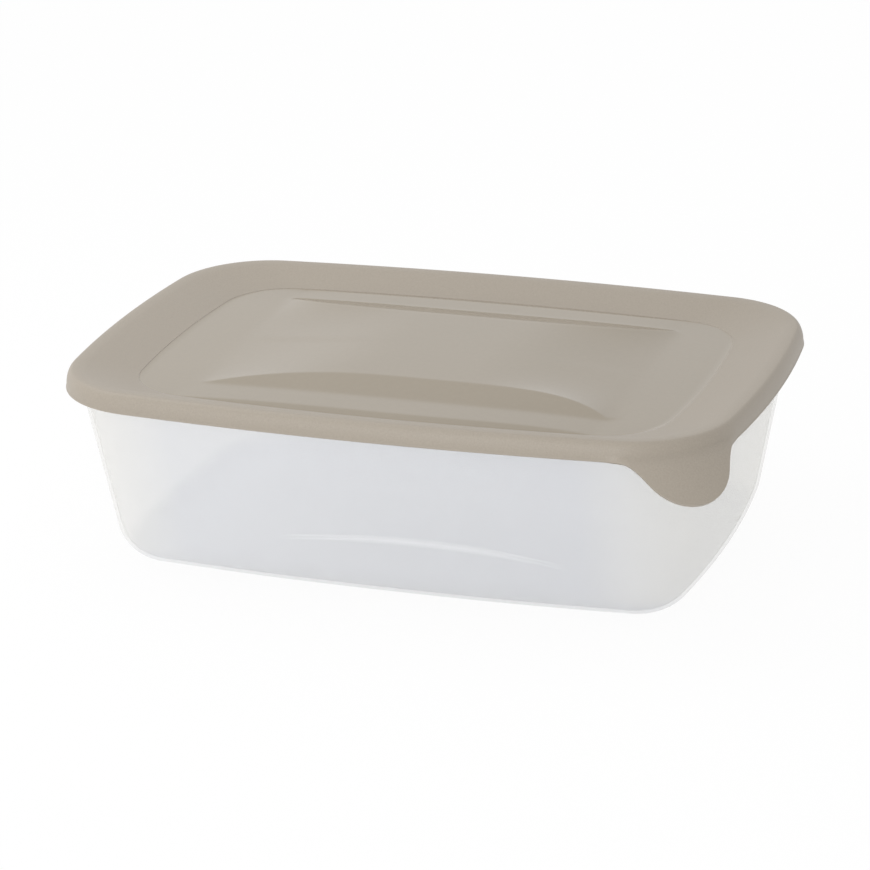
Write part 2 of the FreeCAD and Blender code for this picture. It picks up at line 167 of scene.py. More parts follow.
# ----------------------------------------
# Outlines and arches
# ----------------------------------------
class Outline:
    """Rounded oblong with bowed sides, made of tangent arcs.

    A place on it is a number from 0 to 12: 0 is the middle of the +X side, and 3, 6 and 9 are the middles of
    the +Y, -X and -Y sides. Each quadrant has half a short side, a corner and half a long side, one unit each.
    """

    def __init__(self, length, width, corner, long_bow, short_bow):
        half_length, half_width = length / 2, width / 2
        self.long_radius = (half_length ** 2 + long_bow ** 2) / (2 * long_bow)
        self.short_radius = (half_width ** 2 + short_bow ** 2) / (2 * short_bow)
        self.corner_radius = corner
        self.long_centre = Vector((0.0, half_width - self.long_radius))
        self.short_centre = Vector((half_length - self.short_radius, 0.0))
        near, far = self.long_radius - corner, self.short_radius - corner
        apart = self.short_centre - self.long_centre
        along = (near ** 2 - far ** 2 + apart.length_squared) / (2 * apart.length)
        across = math.sqrt(near ** 2 - along ** 2)
        unit = apart.normalized()
        square = Vector((-unit.y, unit.x))
        meetings = [self.long_centre + unit * along + square * across * sign for sign in (1, -1)]
        self.corner_centre = max(meetings, key=lambda spot: min(spot.x, spot.y))
        from_short = self.corner_centre - self.short_centre
        from_long = self.corner_centre - self.long_centre
        self.short_turn = math.atan2(from_short.y, from_short.x)
        self.long_turn = math.atan2(from_long.y, from_long.x)

    def quadrant_point(self, place, inset):
        """Point and outward direction in the +X +Y quadrant, for a place from 0 to 3."""
        if place < 1:
            turn, centre, radius = self.short_turn * place, self.short_centre, self.short_radius
        elif place < 2:
            turn = self.short_turn + (self.long_turn - self.short_turn) * (place - 1)
            centre, radius = self.corner_centre, self.corner_radius
        else:
            turn = self.long_turn + (math.pi / 2 - self.long_turn) * (place - 2)
            centre, radius = self.long_centre, self.long_radius
        outward = Vector((math.cos(turn), math.sin(turn)))
        return centre + outward * (radius - inset), outward

    def point(self, place, inset=0.0):
        """Point this far inside the outline, and its outward direction."""
        place = place % ARCS
        quadrant = int(place // 3)
        within = place - 3 * quadrant
        if quadrant % 2:
            within = 3 - within
        spot, outward = self.quadrant_point(within, inset)
        flip = Vector((-1 if quadrant in (1, 2) else 1, -1 if quadrant in (2, 3) else 1))
        return spot * flip, outward * flip

    def ring(self, inset, height):
        """Station that lays a ring level, this far inside the outline."""
        def station(place):
            spot, _ = self.point(place, inset)
            return Vector((spot.x, spot.y, height))

        return station

    def place_at(self, x, inset):
        """The place on the +Y side whose point has this x."""
        radius = self.long_radius - inset
        turn = math.acos(abs(x) / radius)
        place = 2 + (turn - self.long_turn) / (math.pi / 2 - self.long_turn)
        return place if x >= 0 else 6 - place

    def long_side(self, x, inset=0.0):
        """How far the long side lies from the middle at this x."""
        radius = self.long_radius - inset
        return self.long_centre.y + math.sqrt(radius ** 2 - x ** 2)

    def side_reach(self, inset):
        """The x at which the long side ends and the corner starts."""
        return (self.long_radius - inset) * math.cos(self.long_turn)

    def end_place(self, share):
        """Place on the +X end, from the front corner's start at share 0 to the back corner's end at share 1."""
        side = self.short_radius * self.short_turn
        corner = self.corner_radius * (self.long_turn - self.short_turn)
        run = (2 * share - 1) * (side + corner)
        distance = abs(run)
        place = distance / side if distance < side else 1 + (distance - side) / corner
        return math.copysign(place, run)


def soft_step(value):
    """Smooth rise from 0 to 1."""
    value = min(max(value, 0.0), 1.0)
    return value * value * (3 - 2 * value)


def soft_least(first, second, blend):
    """The smaller of two heights, rounded where they meet."""
    overlap = max(blend - abs(first - second), 0.0) / blend
    return min(first, second) - overlap * overlap * blend / 4


def soft_most(first, second, blend):
    """The larger of two heights, rounded where they meet."""
    return -soft_least(-first, -second, blend)


class Ridge:
    """Raised bridge along X with a sloped facet on each long side.

    The facets get narrower towards their ends. feet gives how far the front (-1) and back (1) facet's foot lies
    from the middle. ends gives, for each side and end, the power of the curve that the facet follows there, and
    how far it runs past the reach.
    """

    fade_share = 0.75              # share of the reach over which the middle falls to nothing
    hollow = 3                     # power with which the top rises from the middle to the creases

    def __init__(self, feet, depth, slope, reach, ends):
        self.feet = feet
        self.depth = depth
        self.slope = math.tan(slope)
        self.reach = reach
        self.ends = ends

    def facet(self, x, side):
        """Width of the facet on the front (-1) or back (1) side."""
        power, past = self.ends[(side, -1 if x < 0 else 1)]
        return self.depth * max(0.0, 1 - abs(x / (self.reach + past)) ** power)

    def height(self, x, y, blend):
        """Height of the bridge above what carries it."""
        side = 1 if y > 0 else -1
        foot = self.feet[side]
        edge = self.facet(x, side)
        middle = self.depth * soft_step((1 - abs(x) / self.reach) / self.fade_share)
        share = min(abs(y) / (foot - edge), 1.0) ** self.hollow
        top = self.slope * (middle + (edge - middle) * share)
        fall = self.slope * (foot - abs(y))
        if top <= 0:
            return 0.0
        return soft_most(soft_least(top, fall, min(blend, top)), 0.0, min(3 * blend, top))


class Arch:
    """Low arch over the whole width, from one end to the other."""

    def __init__(self, rise, reach, ends):
        self.rise = rise
        self.reach = reach
        self.ends = ends

    def height(self, x, side=1):
        """Height at this x, on the front (-1) or back (1) side."""
        power, _ = self.ends[(side, -1 if x < 0 else 1)]
        return self.rise * max(0.0, 1 - abs(x / self.reach) ** power)


# ----------------------------------------
# Modelling helpers
# ----------------------------------------
def add_grid(name, columns, rows, place_of, position):
    """A grid laid out over a floor, with each border point's place on the outline kept on it."""
    bpy.ops.object.select_all(action="DESELECT")
    bpy.ops.mesh.primitive_grid_add(x_subdivisions=columns, y_subdivisions=rows, size=1.0)
    piece = bpy.context.object
    piece.name = name
    along = piece.data.attributes.new("along", "FLOAT", "POINT")
    for index, vertex in enumerate(piece.data.vertices):
        column = round((vertex.co.x + 0.5) * columns)
        row = round((vertex.co.y + 0.5) * rows)
        along.data[index].value = place_of(column, row)
        vertex.co = position(column, row)
    return piece


def select_border(piece):
    """Select the open border of the piece in edit mode."""
    bpy.ops.object.mode_set(mode="EDIT")
    bpy.ops.mesh.select_mode(type="VERT")
    bpy.ops.mesh.select_all(action="DESELECT")
    bpy.ops.mesh.select_non_manifold(
        extend=False, use_wire=False, use_boundary=True, use_multi_face=False, use_non_contiguous=False,
        use_verts=False)


def extrude_rings(piece, stations):
    """Extrude the open border ring by ring, each laid on its station."""
    select_border(piece)
    for station in stations:
        bpy.ops.mesh.extrude_edges_move()
        shape = bmesh.from_edit_mesh(piece.data)
        along = shape.verts.layers.float["along"]
        for vertex in shape.verts:
            if vertex.select:
                vertex.co = station(vertex[along])
        bmesh.update_edit_mesh(piece.data)
    bpy.ops.object.mode_set(mode="OBJECT")


def select_only(pieces):
    """Select these pieces, with the first one active."""
    bpy.ops.object.select_all(action="DESELECT")
    for piece in pieces:
        piece.select_set(True)
    bpy.context.view_layer.objects.active = pieces[0]


def close_piece(piece):
    """Merge doubles, turn every face outwards and shade the piece smooth."""
    select_only([piece])
    bpy.ops.object.mode_set(mode="EDIT")
    bpy.ops.mesh.select_all(action="SELECT")
    bpy.ops.mesh.remove_doubles(threshold=SAME_PLACE)
    bpy.ops.mesh.normals_make_consistent(inside=False)
    bpy.ops.mesh.select_all(action="DESELECT")
    bpy.ops.object.mode_set(mode="OBJECT")
    bpy.ops.object.shade_smooth_by_angle(angle=SMOOTH_BELOW)


def apply_modifiers(piece):
    """Apply every modifier of the piece."""
    bpy.context.view_layer.objects.active = piece
    for modifier in list(piece.modifiers):
        bpy.ops.object.modifier_apply(modifier=modifier.name)


def bands(lines, counts):
    """Rows from the middle outwards: (line before, line after, share), closer together towards each line."""
    rows = []
    for band, count in enumerate(counts):
        for step in range(1, count + 1):
            turn = math.pi * step / count
            share = math.sin(turn / 2) if band == 0 else (1 - math.cos(turn)) / 2
            rows.append((lines[band], lines[band + 1], share))
    return rows


class FloorLayout:
    """Rows and columns of a floor inside an outline, with rows that run along the creases.

    lines are functions of (x, side) that give how far each crease lies from the middle, from 0 to the border.
    The ends beyond the straight columns are spread over the corners and the short sides.
    """

    def __init__(self, outline, chain, inset, lines, counts, middle_columns, end_columns):
        self.outline = outline
        self.chain = chain
        self.inset = inset
        self.rows_out = bands(lines, counts)
        self.half_rows = len(self.rows_out)
        self.rows = 2 * self.half_rows
        self.middle = middle_columns
        self.ends = end_columns
        self.columns = middle_columns + 2 * end_columns
        self.reach = outline.side_reach(inset)

    def row_y(self, x, row):
        """The y of a row where it crosses this x."""
        offset = row - self.half_rows
        if offset == 0:
            return 0.0
        side = 1 if offset > 0 else -1
        inner, outer, share = self.rows_out[abs(offset) - 1]
        near, far = inner(x, side), outer(x, side)
        return side * (near + (far - near) * share)

    def end_border(self, step, row):
        """Place of a border point at the +X end, this many steps out from the straight columns."""
        pieces = self.rows + 2 * self.ends
        if row == 0:
            share = step / pieces
        elif row == self.rows:
            share = 1 - step / pieces
        else:
            share = (self.ends + row) / pieces
        return self.chain.end_place(share)

    def border_place(self, column, row):
        """Place on the outline for a point of the grid's border, and -1 inside it."""
        if 0 < row < self.rows and 0 < column < self.columns:
            return -1.0
        past = max(column - self.columns + self.ends, self.ends - column)
        if past > 0:
            place = self.end_border(past, row)
            return (place if column > self.ends else 6 - place) % ARCS
        place = self.outline.place_at(self.column_x(column), self.inset)
        return place if row > 0 else (ARCS - place) % ARCS

    def column_x(self, column):
        """The x of a straight column."""
        return self.reach * (2 * (column - self.ends) / self.middle - 1)

    def spot(self, column, row):
        """Plan position of a grid point."""
        past = max(column - self.columns + self.ends, self.ends - column)
        if past <= 0:
            x = self.column_x(column)
            return Vector((x, self.row_y(x, row)))
        return self.end_spot(past, row, 1 if column > self.ends else -1)

    def end_spot(self, step, row, end):
        """Plan position in an end, laid between the last straight column and the outline round it."""
        outwards, upwards = step / self.ends, row / self.rows

        def border(steps, at_row):
            spot, _ = self.outline.point(self.end_border(steps, at_row), self.inset)
            return Vector((end * spot.x, spot.y))

        start = Vector((end * self.reach, self.row_y(end * self.reach, row)))
        low, high = border(step, 0), border(step, self.rows)
        far_low, far_high = border(self.ends, 0), border(self.ends, self.rows)
        near_low, near_high = border(0, 0), border(0, self.rows)
        if row == 0:
            return low
        if row == self.rows:
            return high
        across = start.lerp(border(self.ends, row), outwards)
        along = low.lerp(high, upwards)
        corners = near_low.lerp(near_high, upwards).lerp(far_low.lerp(far_high, upwards), outwards)
        return across + along - corners


class RidgedFloor:
    """Lines along the ridge of a floor, as functions of (x, side)."""

    least_band = 2.0 * MM          # width kept for the rows of a facet where it fades out

    def middle(self, x, side):
        """The middle line itself."""
        return 0.0

    def crease(self, x, side):
        """Where the bridge's top meets its facet."""
        return self.bridge.feet[side] - max(self.bridge.facet(x, side), self.least_band)

    def foot(self, x, side):
        """Where the facet meets what lies beside it."""
        return self.bridge.feet[side]


# ----------------------------------------
# The lid
# ----------------------------------------
QUARTERS = [(side, end) for side in (-1, 1) for end in (-1, 1)]
ROUND_ENDS = {quarter: (2, 0.0) for quarter in QUARTERS}
LID_ENDS = {quarter: (4, 0.0) for quarter in QUARTERS}
LID_ENDS[(-1, -1)] = (2.5, -4.0 * MM)          # the front facet tapers at its left end
LID_ENDS[(-1, 1)] = (5, 2.5 * MM)              # and is blunt at its right end


def rim_outline(scene):
    """The outline that the lid's rim and the tub share."""
    plan = scene.food_box_outline
    return Outline(plan.length, plan.width, plan.corner, plan.long_bow, plan.short_bow)


class LidShape(RidgedFloor):
    """Heights and rings of the lid's upper skin."""

    crease_blend = 0.12 * MM       # height over which a crease is rounded
    band_rows = (20, 14, 10, 6)    # rows of each band, from the middle to the border
    middle_columns = 88
    end_columns = 8
    ring_steps = 10
    shoulder_steps = 12
    lip_steps = 18
    above_tab = 1.0 * MM           # from the tab's root up to the shoulder's foot
    tab_bend = 2.2 * MM            # length over which the tab bends down
    tab_settle = 0.8 * MM          # length over which the tab leaves the shoulder
    tab_fade = 4.0 * MM            # reach at which the lip has become the tab
    step_run = 1.3                 # outward run of the panel's border step, by its height
    crest_dip = 0.02 * MM          # the rim's inner side meets its top this far below it

    def __init__(self, scene):
        self.size = scene.food_box_lid
        self.rim = rim_outline(scene)
        size = self.size
        bow = size.panel_bow
        self.panel = Outline(size.panel_length, size.panel_width, size.panel_corner, bow, bow)
        self.level = size.top - size.panel_sink
        feet = {-1: size.bridge_foot, 1: size.back_foot}
        self.bridge = Ridge(feet, size.bridge_depth, size.facet_slope, size.arch_reach, LID_ENDS)
        self.arch = Arch(size.edge_rise, size.arch_reach, LID_ENDS)
        self.tab_axis = Vector((math.cos(size.tab_direction), -math.sin(size.tab_direction)))
        corner = self.rim.corner_centre
        self.tab_centre = Vector((corner.x, -corner.y))

    def edge_crease(self, x, side):
        """Where the level meets the slope down to the border."""
        run = self.arch.height(x, side) / self.bridge.slope
        return self.border(x, side) - max(run, self.least_band / 2)

    def border(self, x, side):
        """The border on the long sides."""
        return self.panel.long_side(x)

    def panel_height(self, spot):
        """Height of the panel at a plan position."""
        side = 1 if spot.y > 0 else -1
        arch = self.arch.height(spot.x, side)
        if arch > 0:
            edge = self.bridge.slope * (self.border(spot.x, side) - abs(spot.y))
            arch = soft_least(arch, max(edge, 0.0), min(self.crease_blend, arch))
        return self.level + arch + self.bridge.height(spot.x, spot.y, self.crease_blend)

    def layout(self):
        """Rows and columns of the panel."""
        lines = [self.middle, self.crease, self.foot, self.edge_crease, self.border]
        return FloorLayout(
            self.panel, self.rim, 0.0, lines, self.band_rows, self.middle_columns, self.end_columns)

    def tab_edge(self, place):
        """How far the tab stands out from the rim at this place."""
        size = self.size
        spot, outward = self.rim.point(place)
        ray = spot - self.tab_centre
        distance = ray.length
        turn = abs(ray.angle_signed(self.tab_axis)) if distance > 0 else 0.0
        if turn > math.pi / 2:
            return 0.0
        tip_distance = self.rim.corner_radius + size.tab_reach - size.tab_tip
        near = self.rim.corner_radius + size.tab_side
        far = size.tab_tip + size.tab_side
        along = (near ** 2 + tip_distance ** 2 - far ** 2) / (2 * tip_distance)
        side_turn = math.acos(along / near)
        waist_x = tip_distance + (along - tip_distance) * size.tab_tip / far
        waist_y = math.sin(side_turn) * near * size.tab_tip / far
        waist_turn = math.atan2(waist_y, waist_x)
        if turn < waist_turn:
            reach = tip_distance * math.cos(turn) + math.sqrt(
                size.tab_tip ** 2 - (tip_distance * math.sin(turn)) ** 2)
        elif turn < side_turn:
            lean = side_turn - turn
            reach = near * math.cos(lean) - math.sqrt(size.tab_side ** 2 - (near * math.sin(lean)) ** 2)
        else:
            return 0.0
        return max(0.0, reach - distance)

    def ring_stations(self):
        """Rings from the panel's border over the ring, the rim's top and its shoulder."""
        size = self.size
        step = size.border_step
        foot = self.level + self.step_run * step
        crest = size.top - self.crest_dip

        def between(share, height_share):
            """Ring between the panel's border and the rim's inner side."""
            def station(place):
                inner, _ = self.panel.point(place, -2 * step)
                outer, _ = self.rim.point(place, size.ring_inset)
                spot = inner.lerp(outer, share)
                return Vector((spot.x, spot.y, foot + (size.top - foot) * height_share))
            return station

        stations = [
            self.panel.ring(-0.25 * step, self.level + 0.1 * step),
            self.panel.ring(-0.5 * step, self.level + 0.6 * step),
            self.panel.ring(-0.85 * step, self.level + step),
            self.panel.ring(-self.step_run * step, self.level + 1.15 * step),
        ]
        for index in range(self.ring_steps):
            share = index / self.ring_steps
            stations.append(between(share, share))
        stations.append(between(0.96, 0.955))
        stations.append(self.rim.ring(size.ring_inset - 0.4 * MM, crest - 0.12 * MM))
        stations.append(self.rim.ring(size.ring_inset - 1.2 * MM, crest - 0.01 * MM))
        stations.append(self.rim.ring(size.shoulder_width + 0.9 * MM, size.top))
        foot_turn = self.shoulder_foot_turn()
        for index in range(self.shoulder_steps + 1):
            turn = foot_turn * index / self.shoulder_steps
            height = size.top - size.shoulder_height * (1 - math.cos(turn))
            stations.append(self.rim.ring(self.shoulder_inset(turn), height))
        return stations

    def shoulder_inset(self, turn):
        """Inset of the shoulder where it has turned this far."""
        size = self.size
        return size.lip_flare + (size.shoulder_width - size.lip_flare) * (1 - math.sin(turn))

    def shoulder_foot(self):
        """Height at which the lip or the tab takes over from the shoulder."""
        return self.size.lip + self.size.tab_height + self.above_tab

    def shoulder_foot_turn(self):
        """How far the shoulder turns down to its foot."""
        size = self.size
        return math.acos(1 - (size.top - self.shoulder_foot()) / size.shoulder_height)

    def tab_upper(self, out):
        """Height of the tab's upper face this far out from the rim."""
        size = self.size
        bend = self.tab_bend
        droop = math.tan(size.tab_droop)
        level = size.lip + size.tab_height
        past = out - size.tab_root
        fall = droop * 0.5 * (past + math.sqrt(past ** 2 + bend ** 2))
        rest = droop * 0.5 * (math.sqrt(size.tab_root ** 2 + bend ** 2) - size.tab_root)
        return level - (fall - rest) + (self.shoulder_foot() - level) * math.exp(-out / self.tab_settle)

    def lip_stations(self):
        """Rings from the shoulder down to the lip, which flow out into the tab at its corner."""
        size = self.size
        start = self.shoulder_foot()
        start_inset = self.shoulder_inset(self.shoulder_foot_turn())

        def lip(share):
            def station(place):
                reach = self.tab_edge(place)
                out = share * reach
                straight = start + (size.lip - start) * share
                blend = soft_step(reach / self.tab_fade)
                height = straight + (self.tab_upper(out) - straight) * blend
                inset = start_inset + (size.lip_flare - start_inset) * min(share * 2, 1.0)
                inset *= 1 - soft_step((share - 0.8) / 0.15)
                inset *= 1 - blend * share
                spot, _ = self.rim.point(place, inset - out)
                return Vector((spot.x, spot.y, height))
            return station

        steps = self.lip_steps
        return [lip((1 - math.cos(math.pi * (index + 1) / steps)) / 2) for index in range(steps)]


def mark_polish(piece, layout):
    """Store where the lid is polished: 1 on the panel's grid, and 0 on the rings that grew from it."""
    polish = piece.data.attributes.new("polish", "FLOAT", "POINT")
    for index in range((layout.columns + 1) * (layout.rows + 1)):
        polish.data[index].value = 1.0


# ----------------------------------------
# The tub
# ----------------------------------------
class TubShape(RidgedFloor):
    """Heights and rings of the tub's outer and inner skins."""

    crease_blend = 0.15 * MM       # height over which a crease is rounded
    band_rows = (16, 10, 12)       # rows of each band, from the middle to the border
    middle_columns = 90
    end_columns = 4
    rounding_steps = 18
    wall_steps = 10
    rim_steps = 6
    rim_corner = 1.7 * MM          # outer rounding of the rolled rim
    rim_edge = 0.2 * MM            # rounding of its lower edge
    under_bend = 0.5 * MM          # rounding under it, on the wall's side
    mouth_edge = 0.3 * MM          # rounding of the tub's mouth

    def __init__(self, scene):
        self.size = scene.food_box_tub
        self.rim = rim_outline(scene)
        size = self.size
        slope = math.tan(size.facet_slope)
        extra = size.bridge_rise - size.arch_rise
        foot = size.bridge_foot - size.arch_rise / slope
        feet = {-1: foot, 1: foot}
        self.bridge = Ridge(feet, extra / slope, size.facet_slope, size.arch_reach, ROUND_ENDS)
        self.arch = Arch(size.arch_rise, size.arch_reach, ROUND_ENDS)

    def wall_inset(self, height, skin):
        """Inset of the wall's outer (0) or inner (1) skin at this height."""
        size = self.size
        return size.inset + skin * size.wall + (size.top - height) * math.tan(size.draft)

    def rounding(self, skin):
        """Radius of the rounding between base and wall."""
        return self.size.base_round - skin * self.size.wall

    def base_inset(self, skin):
        """Inset of the base's flat part, inside the rounding."""
        turn = (math.pi / 2 - self.size.draft) / 2
        return self.wall_inset(skin * self.size.wall, skin) + self.rounding(skin) * math.tan(turn)

    def round_top(self, skin):
        """Height at which the rounding meets the wall."""
        return skin * self.size.wall + self.rounding(skin) * (1 - math.cos(math.pi / 2 - self.size.draft))

    def layout(self, skin):
        """Rows and columns of the base."""
        inset = self.base_inset(skin)
        lines = [self.middle, self.crease, self.foot, lambda x, side: self.rim.long_side(x, inset)]
        return FloorLayout(
            self.rim, self.rim, inset, lines, self.band_rows, self.middle_columns, self.end_columns)

    def base_height(self, spot, skin):
        """Height of the base's outer (0) or inner (1) skin."""
        arch = self.arch.height(spot.x)
        return skin * self.size.wall + arch + self.bridge.height(spot.x, spot.y, self.crease_blend)

    def rounding_stations(self, skin):
        """Rings from the base's border and up the rounding to the wall."""
        radius = self.rounding(skin)
        inset = self.base_inset(skin)
        level = skin * self.size.wall
        full_turn = math.pi / 2 - self.size.draft

        def border(place):
            spot, _ = self.rim.point(place, inset)
            return Vector((spot.x, spot.y, level + self.arch.height(spot.x)))

        def ring(share):
            def station(place):
                start, _ = self.rim.point(place, inset)
                rise = self.arch.height(start.x)
                first = math.acos(1 - rise / radius)
                turn = first + (full_turn - first) * share
                spot, _ = self.rim.point(place, inset - radius * math.sin(turn))
                return Vector((spot.x, spot.y, level + radius * (1 - math.cos(turn))))
            return station

        steps = self.rounding_steps
        return [border] + [ring(index / steps) for index in range(steps + 1)]

    def wall_stations(self, skin, high):
        """Rings up a wall, from the rounding to this height."""
        low = self.round_top(skin)
        heights = [low + (high - low) * index / self.wall_steps for index in range(1, self.wall_steps + 1)]
        return [self.rim.ring(self.wall_inset(height, skin), height) for height in heights]

    def rim_stations(self):
        """Rings of the rolled rim, from the top of the outer wall to the mouth's edge."""
        size = self.size
        edge = size.flange_inset
        inside = edge + size.wall
        under = size.top - size.wall
        low = size.top - size.flange_depth
        mouth = size.inset + size.wall
        stations = [
            self.rim.ring(inside + self.under_bend, under),
            self.rim.ring(inside, under - self.under_bend),
            self.rim.ring(inside, low + self.rim_edge),
            self.rim.ring(inside - self.rim_edge, low),
            self.rim.ring(edge + self.rim_edge, low),
            self.rim.ring(edge, low + self.rim_edge),
        ]
        for index in range(self.rim_steps + 1):
            turn = math.pi / 2 * index / self.rim_steps
            inset = edge + self.rim_corner * (1 - math.cos(turn))
            stations.append(self.rim.ring(inset, size.top - self.rim_corner * (1 - math.sin(turn))))
        stations.append(self.rim.ring(mouth - self.mouth_edge, size.top))
        stations.append(self.rim.ring(mouth, size.top - self.mouth_edge))
        return stations

    def skin_stations(self):
        """Rings from the base's outer border up over the rim and down to its inner border."""
        outer = self.rounding_stations(0)[1:] + self.wall_stations(0, self.size.top - self.size.wall)
        inner = self.rounding_stations(1) + self.wall_stations(1, self.size.top - self.mouth_edge)[:-1]
        return outer + self.rim_stations() + inner[::-1]


def add_base(shape, skin, name):
    """Grid of the base's outer or inner skin."""
    layout = shape.layout(skin)

    def position(column, row):
        spot = layout.spot(column, row)
        return Vector((spot.x, spot.y, shape.base_height(spot, skin)))

    return add_grid(name, layout.columns, layout.rows, layout.border_place, position)


# ----------------------------------------
# Materials
# ----------------------------------------
PLASTIC_IOR = 1.49
WHITE = (1.0, 1.0, 1.0, 1.0)
FLOOR_GLOW = 0.95                   # how far the floor is plain white to the camera
LEFT_LIGHT = 0.18                   # change of the soft light from the middle to the left
EVEN_LIGHT = 0.82                   # soft light of the middle


class Value:
    """A number socket that takes part in sums."""

    def __init__(self, graph, socket):
        self.graph = graph
        self.socket = socket

    def math(self, operation, first, second):
        """A Math node on two numbers."""
        return self.graph.node("ShaderNodeMath", {"operation": operation}, {0: first, 1: second}).out()

    def __add__(self, other):
        return self.math("ADD", self, other)

    def __sub__(self, other):
        return self.math("SUBTRACT", self, other)

    def __mul__(self, other):
        return self.math("MULTIPLY", self, other)

    __radd__ = __add__
    __rmul__ = __mul__

    def __rsub__(self, other):
        return self.math("SUBTRACT", other, self)


class Node:
    """A node of a material, with its outputs by name."""

    def __init__(self, graph, made):
        self.graph = graph
        self.made = made

    def out(self, name=0):
        """One output of the node."""
        return Value(self.graph, self.made.outputs[name])


class Graph:
    """Node tree of a material or world."""

    def __init__(self, owner):
        owner.use_nodes = True
        self.tree = owner.node_tree
        self.tree.nodes.clear()

    def node(self, kind, settings=None, inputs=None):
        """A node of this type. Settings are set first, then the values or links of its sockets."""
        made = self.tree.nodes.new(kind)
        for key, value in (settings or {}).items():
            setattr(made, key, value)
        for key, value in (inputs or {}).items():
            if isinstance(value, Value):
                self.tree.links.new(value.socket, made.inputs[key])
            else:
                made.inputs[key].default_value = value
        return Node(self, made)

    def ramp(self, value, low, high):
        """Rise from 0 to 1 as the value goes from low to high."""
        return self.node("ShaderNodeMapRange", {"clamp": True}, {
            "Value": value, "From Min": low, "From Max": high, "To Min": 0.0, "To Max": 1.0}).out("Result")

    def size_of(self, value):
        """The value without its sign."""
        return self.node("ShaderNodeMath", {"operation": "ABSOLUTE"}, {0: value}).out()

    def noise(self, position, scale, detail=2.0, roughness=0.5):
        """Noise of this many patches a metre."""
        return self.node("ShaderNodeTexNoise", None, {
            "Vector": position, "Scale": scale, "Detail": detail, "Roughness": roughness}).out("Fac")

    def mix_colour(self, share, first, second):
        """Mix of two colours."""
        share_socket, first_socket, second_socket, result_socket = 0, 6, 7, 2
        inputs = {share_socket: share, first_socket: first, second_socket: second}
        return self.node("ShaderNodeMix", {"data_type": "RGBA"}, inputs).out(result_socket)

    def seen(self):
        """1 where the surroundings are looked at, straight or mirrored, and 0 where they only give light."""
        path = self.node("ShaderNodeLightPath")
        return path.out("Is Camera Ray") + path.out("Is Glossy Ray") + path.out("Is Transmission Ray")

    def surface(self, shader, output="ShaderNodeOutputMaterial"):
        """Make this shader the surface."""
        self.node(output, None, {"Surface": shader.out()})

    def bump(self, height, strength, distance):
        """Normal of a fine relief."""
        return self.node("ShaderNodeBump", None, {
            "Strength": strength, "Distance": distance, "Height": height}).out("Normal")


def tinted(colour, factor):
    """The colour, lighter or darker, with full opacity."""
    return tuple(min(1.0, part * factor) for part in colour) + (1.0,)


def lid_material(finish):
    """Taupe plastic: satin rim and ring, polished panel."""
    material = bpy.data.materials.new("lid_plastic_finish")
    graph = Graph(material)
    place = graph.node("ShaderNodeTexCoord").out("Object")
    polish = graph.node("ShaderNodeAttribute", {"attribute_name": "polish"}).out("Fac")
    satin = 1 - polish
    cloud = graph.noise(place, scale=18.0, detail=3.0)
    speck = graph.noise(place, scale=420.0, detail=3.0, roughness=0.7)
    swirl = graph.noise(place, scale=45.0)
    grain = graph.noise(place, scale=1600.0)
    mottle = graph.ramp(cloud * 0.5 + speck * 0.5, low=0.3, high=0.7)
    panel = graph.mix_colour(mottle, tinted(finish.lid, 0.97), tinted(finish.lid, 1.03))
    dots = graph.ramp(grain, low=0.3, high=0.7)
    rim = graph.mix_colour(dots, tinted(finish.lid_rim, 0.95), tinted(finish.lid_rim, 1.05))
    roughness = polish * finish.lid_gloss + satin * finish.lid_satin + (grain - 0.5) * satin * 0.08
    shader = graph.node("ShaderNodeBsdfPrincipled", None, {
        "Base Color": graph.mix_colour(satin, panel, rim),
        "Roughness": roughness + (swirl - 0.5) * 0.03,
        "IOR": PLASTIC_IOR,
        "Normal": graph.bump(grain * satin + swirl * polish * 0.4, strength=0.2, distance=0.05 * MM),
    })
    graph.surface(shader)
    return material


